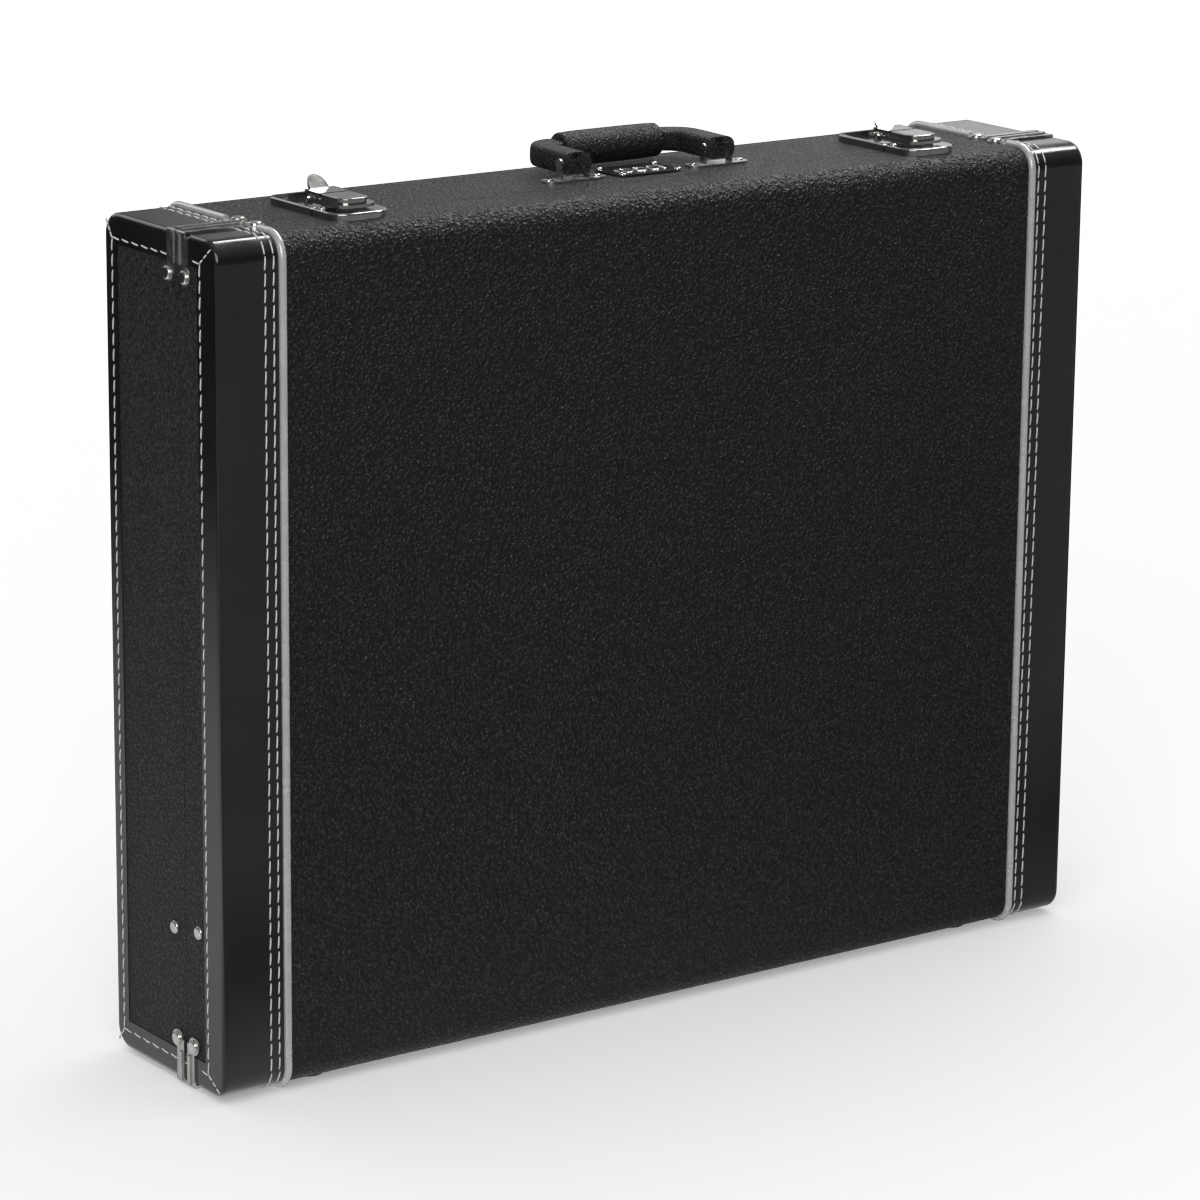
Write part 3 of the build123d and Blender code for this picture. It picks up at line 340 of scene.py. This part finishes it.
# Hard pieces with edges softened by a bevel, keyed by part of the node's name; the rest keep their CAD edges.
SOFT_EDGES = {
    "latch_lever": 0.5 * MM, "latch_hasp": 0.4 * MM, "latch_catch": 0.3 * MM, "latch_plate": 0.3 * MM,
    "corner_brackets": 0.3 * MM, "handle_mount": 0.3 * MM, "badge": 0.2 * MM, "end_inlays": 0.2 * MM,
    "_leaf": 0.2 * MM, "pedal_board": 0.8 * MM, "board_rails": 0.8 * MM,
}
SHARP_ANGLE = math.radians(50)
for part in frame["record"]["subparts"]:
    obj = frame["nodes"][part["node"]]
    obj.data.materials.clear()
    finish = LOOKS[part["material_slot"]]
    # Brackets, mounts and latch parts get the darker copies of the nickel: painted shade.
    if part["node"] in SATIN_NODES:
        finish = SATIN
    elif part["node"].startswith(SHADED_NICKEL_NODES) and part["material_slot"] == "nickel":
        finish = SHADED_NICKEL
    obj.data.materials.append(finish)
    for key, width in SOFT_EDGES.items():
        if key in part["node"]:
            soft = obj.modifiers.new("soft_edges", "BEVEL")
            soft.width, soft.segments, soft.limit_method = width, 2, "ANGLE"
            soft.angle_limit = SHARP_ANGLE
            soft.harden_normals = False


# ---- mesh helpers ----
def make_mesh(name, points, faces, look, smooth=True):
    mesh = bpy.data.meshes.new(name)
    mesh.from_pydata([tuple(p) for p in points], [], faces)
    mesh.polygons.foreach_set("use_smooth", [smooth] * len(mesh.polygons))
    mesh.materials.append(look)
    mesh.update()
    obj = bpy.data.objects.new(name, mesh)
    bpy.context.scene.collection.objects.link(obj)
    return obj


def smooth_once(obj):
    smooth = obj.modifiers.new("smooth", "SUBSURF")
    smooth.levels = smooth.render_levels = 1


def ring_faces(rings, sides, closed_ends=True, first=0):
    """Faces of a tube of rings, each of the same number of points, one after another."""
    faces = []
    for r in range(rings - 1):
        for s in range(sides):
            a, b = first + r * sides + s, first + r * sides + (s + 1) % sides
            faces.append((a, b, b + sides, a + sides))
    if closed_ends:
        faces.append(tuple(first + s for s in reversed(range(sides))))
        faces.append(tuple(first + (rings - 1) * sides + s for s in range(sides)))
    return faces


CORNER_STEPS = 12


def outline_path(half, step=1.5 * MM):
    """Points and outward normals round one half's section, from the top rim to the bottom rim, in (y, z)."""
    face, rim, out = FACE[half], RIM[half], OUTWARD[half]
    centre_y = face - out * CORNER_R
    points, normals = [], []

    def run(start, end, normal):
        count = max(2, int((Vector(end) - Vector(start)).length / step))
        for i in range(count):
            points.append(Vector(start).lerp(Vector(end), i / count))
            normals.append(Vector(normal))

    run((rim, TOP_Z), (centre_y, TOP_Z), (0, 1))
    for i in range(CORNER_STEPS + 1):
        turn = math.radians(90 * i / CORNER_STEPS)
        normal = Vector((out * math.sin(turn), math.cos(turn)))
        points.append(Vector((centre_y, TOP_Z - CORNER_R)) + CORNER_R * normal)
        normals.append(normal)
    run((face, TOP_Z - CORNER_R - step), (face, BOTTOM_Z + CORNER_R), (out, 0))
    for i in range(CORNER_STEPS + 1):
        turn = math.radians(90 * i / CORNER_STEPS)
        normal = Vector((out * math.cos(turn), -math.sin(turn)))
        points.append(Vector((centre_y, BOTTOM_Z + CORNER_R)) + CORNER_R * normal)
        normals.append(normal)
    run((centre_y - out * step, BOTTOM_Z), (rim, BOTTOM_Z), (0, -1))
    return points, normals


class Stitches:
    """Collects stitches, each a short sunk capsule of thread, into one mesh."""

    RADIUS, LENGTH, PITCH = 0.47 * MM, 8.1 * MM, 9.0 * MM
    # Along the stitch, in its length; its width and its lift, in its radius.
    STATIONS = ((-0.5, 0.3, -0.8), (-0.42, 0.8, -0.1), (-0.2, 1.0, 0.35),
                (0.2, 1.0, 0.35), (0.42, 0.8, -0.1), (0.5, 0.3, -0.8))
    SIDES = 6
    FLATTEN = 0.75
    END_ROOM = 4 * MM  # from each end of a line to the middle of its last stitch

    def __init__(self):
        self.points, self.faces = [], []

    def add(self, centre, along, normal, length=None):
        length = length or self.LENGTH
        across = along.cross(normal)
        first = len(self.points)
        for shift, swell, lift in self.STATIONS:
            middle = centre + along * shift * length + normal * lift * self.RADIUS
            for s in range(self.SIDES):
                turn = 2 * math.pi * s / self.SIDES
                offset = across * math.cos(turn) + normal * math.sin(turn) * self.FLATTEN
                self.points.append(middle + offset * swell * self.RADIUS)
        self.faces += ring_faces(len(self.STATIONS), self.SIDES, True, first)

    def row(self, points, normals, slant):
        """Stitches at even pitch along a line of 3-D points."""
        lengths = [0.0]
        for a, b in zip(points, points[1:]):
            lengths.append(lengths[-1] + (b - a).length)
        sewn = lengths[-1] - self.END_ROOM - self.END_ROOM
        count = max(1, int(sewn / self.PITCH) + 1)
        pitch = sewn / max(1, count - 1)
        for i in range(count):
            at = self.END_ROOM + i * pitch
            k = max(1, next((j for j, d in enumerate(lengths) if d >= at), len(lengths) - 1))
            share = (at - lengths[k - 1]) / max(1e-9, lengths[k] - lengths[k - 1])
            along = (points[k] - points[k - 1]).normalized()
            normal = normals[k - 1].lerp(normals[k], share).normalized()
            across = along.cross(normal)
            tilted = (along + across * slant).normalized()
            self.add(points[k - 1].lerp(points[k], share), tilted, normal)

    def build(self, name, body):
        obj = make_mesh(name, self.points, self.faces, THREAD)
        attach(obj, body)


# ---- white stitching ----
ROWS = (36.5 * MM, 31.0 * MM)  # beside the piping, from the end of the case
LINE_IN = {"lid": 17.3 * MM, "base": 8.6 * MM}  # the end face's stitch line, in from the lid's or base's face
LINE_DOWN, LINE_UP = 14.0 * MM, 11.0 * MM  # the same line, from the top and from the bottom
CORNER_STITCH = 4.0 * MM
CORNER_PLACES = (0.42, 0.66, 0.90)  # of the way from the case's corner to the line's corner
ROW_SLANT, LINE_SLANT = 0.06, 0.10


def end_line(half, side):
    """The straight runs of an end face's stitch line on one half, from the top seam to the bottom seam."""
    x, y_far = side * END_X, FACE[half] - OUTWARD[half] * LINE_IN[half]
    top, bottom = TOP_Z - LINE_DOWN, BOTTOM_Z + LINE_UP
    corners = [Vector((x, RIM[half], top)), Vector((x, y_far, top)),
               Vector((x, y_far, bottom)), Vector((x, RIM[half], bottom))]
    return list(zip(corners, corners[1:]))


for half in ("lid", "base"):
    for side_name, side in SIDES.items():
        rows = Stitches()
        path, normals = outline_path(half)
        for inset in ROWS:
            x = side * (END_X - inset)
            line = [Vector((x, p[0], p[1])) for p in path]
            rows.row(line, [Vector((0, n[0], n[1])) for n in normals], ROW_SLANT)
        normal = Vector((side, 0, 0))
        for a, b in end_line(half, side):
            rows.row([a, b], [normal, normal], LINE_SLANT)
        # Three stitches hold each folded corner of the border.
        across = -OUTWARD[half] * LINE_IN[half]
        for z, up in ((TOP_Z, -LINE_DOWN), (BOTTOM_Z, LINE_UP)):
            for share in CORNER_PLACES:
                centre = Vector((side * END_X, FACE[half] + across * share, z + up * share))
                rows.add(centre, Vector((0, across, up)).normalized(), normal, CORNER_STITCH)
        rows.build(f"stitching_{half}_{side_name}", half)

# ---- handle: leather arms and padded grip ----
left_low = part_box("handle_arm_left")[0]
grip_low, grip_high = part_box("handle_grip")
right_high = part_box("handle_arm_right")[1]
ARM_W, ARM_T = 17 * MM, 14 * MM
ARM_BEND = 14 * MM
ARM_SKIN, NOSE_SKIN = 0.4 * MM, 0.2 * MM  # how far the leather stays inside the arm's thickness
ARM_SIDES, NOSE_STEPS = 20, 4
STRAIGHT_STEPS, BEND_STEPS, REACH_STEPS = 9, 9, 4
HANDLE_X = (left_low[0] + right_high[0]) / 2
HANDLE_HALF = (right_high[0] - left_low[0]) / 2 - ARM_W / 2
pivot = Vector(next(j["pos_m"] for j in frame["joints"] if j["name"] == "handle_pivot"))
GRIP = (Vector(grip_low) + Vector(grip_high)) / 2
BACK = Vector((0, GRIP.y - pivot.y, GRIP.z - pivot.z))
REACH = BACK.length
BACK.normalize()
FLAT_UP = X_AXIS.cross(BACK)
GRIP_R, GRIP_L = (grip_high[1] - grip_low[1]) / 2, grip_high[0] - grip_low[0]


def arm_path(side):
    """Centre line of one arm in the handle's plane: (x from the centre, distance back), from bar to grip."""
    turn_x, turn_y = HANDLE_HALF - ARM_BEND, REACH - ARM_BEND
    line = [(HANDLE_HALF, t * turn_y) for t in np.linspace(0, 1, STRAIGHT_STEPS)]
    line += [(turn_x + ARM_BEND * math.cos(a), turn_y + ARM_BEND * math.sin(a))
             for a in np.linspace(0, math.pi / 2, BEND_STEPS)[1:]]
    line += [(x, REACH) for x in np.linspace(turn_x, GRIP_L / 2, REACH_STEPS)[1:]]
    return [Vector((side * x, y)) for x, y in line]


def arm(side_name, side):
    """Leather sleeve with rounded edges; its start wraps the pivot bar and its end runs into the grip."""
    path = arm_path(side)
    middle = Vector((HANDLE_X, pivot.y, pivot.z))
    points = []
    for i, p in enumerate(path):
        ahead = path[min(i + 1, len(path) - 1)] - path[max(i - 1, 0)]
        ahead.normalize()
        sideways = Vector((-ahead.y, ahead.x))
        # The arm narrows and thins over its last third, where it runs into the grip.
        narrow = 1 - 0.22 * max(0.0, (i - 14) / 7)
        crown = 1.0 - 0.10 * max(0.0, (i - 10) / 11)
        for s in range(ARM_SIDES):
            turn = 2 * math.pi * s / ARM_SIDES
            c, d = math.cos(turn), math.sin(turn)
            wide = math.copysign(abs(c) ** 0.35, c) * ARM_W / 2 * narrow
            high = math.copysign(abs(d) ** 0.42, d) * (ARM_T / 2 - ARM_SKIN) * crown
            flat = p + sideways * wide
            points.append(middle + X_AXIS * flat.x + BACK * flat.y + FLAT_UP * high)
    faces = ring_faces(len(path), ARM_SIDES, False)
    # Rounded nose round the bar.
    bar = Vector((HANDLE_X + side * HANDLE_HALF, pivot.y, pivot.z))
    nose = len(points)
    for k in range(1, NOSE_STEPS + 1):
        lean = math.sin(math.pi / 2 * k / NOSE_STEPS)
        for s in range(ARM_SIDES):
            from_bar = points[s] - bar
            high, wide = from_bar.dot(FLAT_UP), from_bar.dot(X_AXIS)
            out = lean * (ARM_T / 2 - NOSE_SKIN) * math.sqrt(max(0, 1 - (high / (ARM_T / 2)) ** 2))
            points.append(bar + X_AXIS * wide + FLAT_UP * high - BACK * out)
    previous = 0
    for k in range(NOSE_STEPS):
        start = nose + k * ARM_SIDES
        for s in range(ARM_SIDES):
            t = (s + 1) % ARM_SIDES
            faces.append((previous + t, previous + s, start + s, start + t))
        previous = start
    last = (len(path) - 1) * ARM_SIDES
    for first in (previous, last):
        faces.append(tuple(first + s for s in range(ARM_SIDES)))
    obj = make_mesh(f"arm_leather_{side_name}", points, faces, LOOKS["handle_leather"])
    smooth_once(obj)
    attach(obj, "handle")
    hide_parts(f"handle_arm_{side_name}")


for side_name, side in SIDES.items():
    arm(side_name, side)


def grip():
    """Padded sleeve, fuller in the middle, with rolled ends and a lap seam under it."""
    sides, stations = 48, 41
    points = []
    for i in range(stations):
        t = i / (stations - 1)
        x = GRIP.x + (t - 0.5) * GRIP_L
        edge = min(t, 1 - t) * GRIP_L / MM
        swell = 1 - 0.10 * math.exp(-((edge / 0.8) ** 2)) - 0.035 * math.exp(-(((edge - 4.5) / 1.4) ** 2))
        for s in range(sides):
            turn = 2 * math.pi * s / sides
            lap = 0.018 * math.exp(-(((turn - 4.3) / 0.12) ** 2))
            belly = 0.97 + 0.025 * math.sin(math.pi * t)
            ripple = 0.004 * math.sin(5 * turn + 9 * t) * math.sin(math.pi * t)
            r = GRIP_R * min(1.0, swell * belly + ripple - lap)
            points.append((x, GRIP.y + r * math.cos(turn), GRIP.z + r * math.sin(turn)))
    faces = ring_faces(stations, sides)
    obj = make_mesh("grip_sleeve", points, faces, LOOKS["grip_leather"])
    smooth_once(obj)
    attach(obj, "handle")
    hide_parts("handle_grip")


grip()


# ---- badge ornament: a generic looped knot, no lettering ----
def ornament():
    """A wire that loops five times over itself along the badge, sunk a little into it."""
    low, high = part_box("badge")
    centre = Vector(((low[0] + high[0]) / 2, (low[1] + high[1]) / 2, high[2] - 0.3 * MM))
    half_w, half_d, lift, wire = 16.5 * MM, 5.5 * MM, 0.25 * MM, 0.85 * MM
    loops, steps, sides = 5, 240, 8
    points, line = [], []
    for i in range(steps):
        a = 2 * math.pi * i / steps
        weave = Vector((half_w * math.cos(a), half_d * math.sin(loops * a), lift * math.cos(2 * loops * a)))
        line.append(centre + weave)
    for i, p in enumerate(line):
        along = (line[(i + 1) % steps] - line[i - 1]).normalized()
        across = along.cross(Z_AXIS).normalized()
        for s in range(sides):
            turn = 2 * math.pi * s / sides
            points.append(p + across * math.cos(turn) * wire + Z_AXIS * math.sin(turn) * wire * 0.8)
    faces = ring_faces(steps, sides, False)
    last = (steps - 1) * sides
    faces += [(last + s, last + (s + 1) % sides, (s + 1) % sides, s) for s in range(sides)]
    obj = make_mesh("badge_ornament", points, faces, LOOKS["nickel"])
    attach(obj, "base")


ornament()


def border_loop(rows, columns):
    """Indices round the border of a grid of rows by columns, in order."""
    loop = list(range(columns)) + [r * columns + columns - 1 for r in range(1, rows)]
    loop += [(rows - 1) * columns + c for c in reversed(range(columns - 1))]
    return loop + [r * columns for r in reversed(range(1, rows - 1))]


# ---- lid pad: quilted cushion ----
def lid_pad():
    """Crowned pad with sewn channels, flat where it is glued to the lid."""
    low, high = (Vector(corner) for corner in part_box("lid_foam"))
    across, up = 121, 97
    channel_x, channel_z = 6, 5
    edge_r, inward = 16 * MM, 2.2 * MM
    thin = 0.5 * MM  # the pad stays this far inside its solid, front and back
    depth = high.y - low.y - 2 * thin
    points, faces = [], []
    for j in range(up):
        for i in range(across):
            u, v = i / (across - 1), j / (up - 1)
            rim = min(u, 1 - u) * (high.x - low.x), min(v, 1 - v) * (high.z - low.z)
            round_off = min(1.0, min(rim) / edge_r)
            edge = math.sqrt(max(0.0, 1 - (1 - round_off) ** 2))
            quilt = abs(math.sin(math.pi * channel_x * u)) ** 0.45
            quilt *= abs(math.sin(math.pi * channel_z * v)) ** 0.45
            pull = inward * math.sin(math.pi * v), inward * math.sin(math.pi * u)
            x = low.x + (high.x - low.x) * u + pull[0] * (1 - 2 * u) * (1 - round_off)
            z = low.z + (high.z - low.z) * v + pull[1] * (1 - 2 * v) * (1 - round_off)
            height = depth * edge * (0.62 + 0.38 * quilt)
            points.append((x, low.y + thin + height, z))
    for j in range(up - 1):
        for i in range(across - 1):
            a = j * across + i
            faces.append((a, a + across, a + across + 1, a + 1))
    rim_loop = border_loop(up, across)
    back = len(points)
    points += [(points[k][0], low.y, points[k][2]) for k in rim_loop]
    for n, k in enumerate(rim_loop):
        m = (n + 1) % len(rim_loop)
        faces.append((k, rim_loop[m], back + m, back + n))
    faces.append(tuple(back + n for n in range(len(rim_loop))))
    obj = make_mesh("lid_pad", points, faces, LOOKS["foam"])
    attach(obj, "lid")
    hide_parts("lid_foam")


lid_pad()


# ---- webbing stays ----
def stay(side_name):
    """Flat strap with thinned edges."""
    low, high = (Vector(corner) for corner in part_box(f"stay_strap_{side_name}"))
    rows, columns = 60, 7
    thick = (high.x - low.x) * 0.8
    points, faces = [], []
    for face in (-1, 1):
        for r in range(rows):
            t = r / (rows - 1)
            for c in range(columns):
                w = c / (columns - 1)
                x = (low.x + high.x) / 2 + face * thick / 2 * (1 - 0.5 * (2 * w - 1) ** 8)
                points.append((x, low.y + (high.y - low.y) * t, low.z + (high.z - low.z) * w))
    count = rows * columns
    for r in range(rows - 1):
        for c in range(columns - 1):
            a = r * columns + c
            faces.append((a, a + 1, a + columns + 1, a + columns))
            faces.append((count + a, count + a + columns, count + a + columns + 1, count + a + 1))
    loop = border_loop(rows, columns)
    for n, a in enumerate(loop):
        b = loop[(n + 1) % len(loop)]
        faces.append((b, a, count + a, count + b))
    obj = make_mesh(f"stay_webbing_{side_name}", points, faces, LOOKS["webbing"])
    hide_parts(f"stay_strap_{side_name}")
    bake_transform(obj)


for side_name in SIDES:
    stay(side_name)

# ---- floor, light, camera ----
bpy.ops.mesh.primitive_plane_add(size=14, location=(0, 0, 0))
floor = bpy.context.object
floor.name = "floor"
floor.is_shadow_catcher = True


def floor_material():
    """Pale floor. Reflections see a painted emission glow on it instead of its lighting: bright round the case's
    left end, soft in front, and dim elsewhere.
    """
    mat = new_material("floor", (0.86, 0.86, 0.86), 0.9)
    where = coords(mat)
    split = node(mat, "ShaderNodeSeparateXYZ")
    link(mat, where, split, 0)

    def fade(source, source_name, start, end, low, high):
        made = node(mat, "ShaderNodeMapRange", interpolation_type="SMOOTHSTEP")
        for key, value in (("From Min", start), ("From Max", end), ("To Min", low), ("To Max", high)):
            made.inputs[key].default_value = value
        link(mat, source, made, "Value", source_name)
        return made

    def join(operation, first, second):
        made = node(mat, "ShaderNodeMath", operation=operation)
        link(mat, first, made, 0)
        link(mat, second, made, 1)
        return made

    centre = node(mat, "ShaderNodeVectorMath", operation="DISTANCE")
    centre.inputs[1].default_value = (-0.45, 0.22, 0)
    link(mat, where, centre, 0)
    # Painted light for reflections: emission in a pool round the case's left end, a lane beside it and a soft glow
    # in front.
    near = fade(centre, "Value", 0.20, 1.35, 0.60, 0.03)
    painted_light_pool = join("MULTIPLY", near, fade(split, "Y", -0.28, -0.04, 0, 1))
    lane_y = node(mat, "ShaderNodeMath", operation="ABSOLUTE")
    link(mat, split, lane_y, 0, "Y")
    painted_light_lane = join("MULTIPLY", fade(lane_y, 0, 0.08, 0.30, 0.55, 0), fade(split, "X", -0.40, -0.65, 0, 1))
    front = fade(split, "Y", 0.0, -0.5, 0.0, 0.26)
    # Glossy rays see this painted glow instead of the lit floor.
    glow = node(mat, "ShaderNodeEmission")
    link(mat, join("ADD", join("ADD", painted_light_pool, painted_light_lane), front), glow, "Color")
    ray = node(mat, "ShaderNodeLightPath")
    mix = node(mat, "ShaderNodeMixShader")
    link(mat, ray, mix, 0, "Is Glossy Ray")
    link(mat, mat.node_tree.nodes["Principled BSDF"], mix, 1)
    link(mat, glow, mix, 2)
    link(mat, mix, mat.node_tree.nodes["Material Output"], "Surface")
    return mat


floor.data.materials.append(floor_material())


WALL_WAY = (0.81, 0.55, 0.20)  # direction of the bright wall


def studio_world():
    """White to the camera; everything else sees a dim room with a bright wall behind the case."""
    world = bpy.data.worlds.new("studio")
    bpy.context.scene.world = world
    world.use_nodes = True
    tree = world.node_tree
    tree.nodes.clear()
    out = tree.nodes.new("ShaderNodeOutputWorld")
    mix = tree.nodes.new("ShaderNodeMixShader")
    ray = tree.nodes.new("ShaderNodeLightPath")
    white = tree.nodes.new("ShaderNodeBackground")
    white.inputs["Color"].default_value = (1, 1, 1, 1)
    room = tree.nodes.new("ShaderNodeBackground")
    where = tree.nodes.new("ShaderNodeTexCoord")
    wall = tree.nodes.new("ShaderNodeVectorMath")
    wall.operation = "DOT_PRODUCT"
    wall.inputs[1].default_value = WALL_WAY
    tree.links.new(where.outputs["Generated"], wall.inputs[0])
    lit = tree.nodes.new("ShaderNodeMapRange")
    lit.interpolation_type = "SMOOTHSTEP"
    for key, value in (("From Min", 0.88), ("From Max", 0.97), ("To Min", 0.07), ("To Max", 0.75)):
        lit.inputs[key].default_value = value
    tree.links.new(wall.outputs["Value"], lit.inputs["Value"])
    split = tree.nodes.new("ShaderNodeSeparateXYZ")
    tree.links.new(where.outputs["Generated"], split.inputs[0])
    height = tree.nodes.new("ShaderNodeMapRange")
    for key, value in (("From Min", 0.30), ("From Max", 0.95), ("To Min", 0.0), ("To Max", 0.30)):
        height.inputs[key].default_value = value
    tree.links.new(split.outputs["Z"], height.inputs["Value"])
    total = tree.nodes.new("ShaderNodeMath")
    total.operation = "ADD"
    tree.links.new(lit.outputs[0], total.inputs[0])
    tree.links.new(height.outputs[0], total.inputs[1])
    tree.links.new(total.outputs[0], room.inputs["Color"])
    tree.links.new(ray.outputs["Is Camera Ray"], mix.inputs[0])
    tree.links.new(room.outputs[0], mix.inputs[1])
    tree.links.new(white.outputs[0], mix.inputs[2])
    tree.links.new(mix.outputs[0], out.inputs["Surface"])


studio_world()


def softbox(name, place, aim, size, power):
    """Rectangular lamp, aimed at a point; watts."""
    light = bpy.data.lights.new(name, "AREA")
    light.shape, light.size, light.size_y = "RECTANGLE", size[0], size[1]
    light.energy = power
    obj = bpy.data.objects.new(name, light)
    bpy.context.scene.collection.objects.link(obj)
    obj.location = place
    obj.rotation_euler = (Vector(aim) - Vector(place)).to_track_quat("-Z", "Y").to_euler()
    return obj


overhead = softbox("overhead", (1.15, 0.35, 2.0), (0, 0, 0.35), (1.4, 0.6), 32)
softbox("fill", (-2.2, -2.2, 1.7), (0, 0, 0.25), (2.4, 2.0), 50)
softbox("back", (-0.4, 2.4, 1.6), (0, 0, 0.25), (1.6, 1.6), 8)
sky = softbox("sky", (0, 0, 3.6), (0, 0, 0), (5.0, 5.0), 85)
sky.visible_glossy = False  # lights without showing in the gloss
overhead.data.use_shadow = False  # shows in the gloss without darkening the floor

HEADING, TILT, ROLL = math.radians(-35.72), math.radians(-14.72), math.radians(-0.57)
turn = Matrix.Rotation(HEADING, 3, "Z") @ Matrix.Rotation(TILT, 3, "X") @ Matrix.Rotation(ROLL, 3, "Y")
right, forward, upward = turn.col[0], turn.col[1], turn.col[2]
CAMERA_PLACE = (-1.640, -2.271, 0.974)
camera = bpy.data.objects.new("camera", bpy.data.cameras.new("camera"))
bpy.context.scene.collection.objects.link(camera)
camera.data.sensor_width = 36
camera.data.lens = 144.87
camera.data.clip_end = 50
stand = Matrix((right, upward, -forward)).transposed().to_4x4()
camera.matrix_world = Matrix.Translation(CAMERA_PLACE) @ stand
bpy.context.scene.camera = camera
bpy.context.scene.view_settings.view_transform = "Standard"
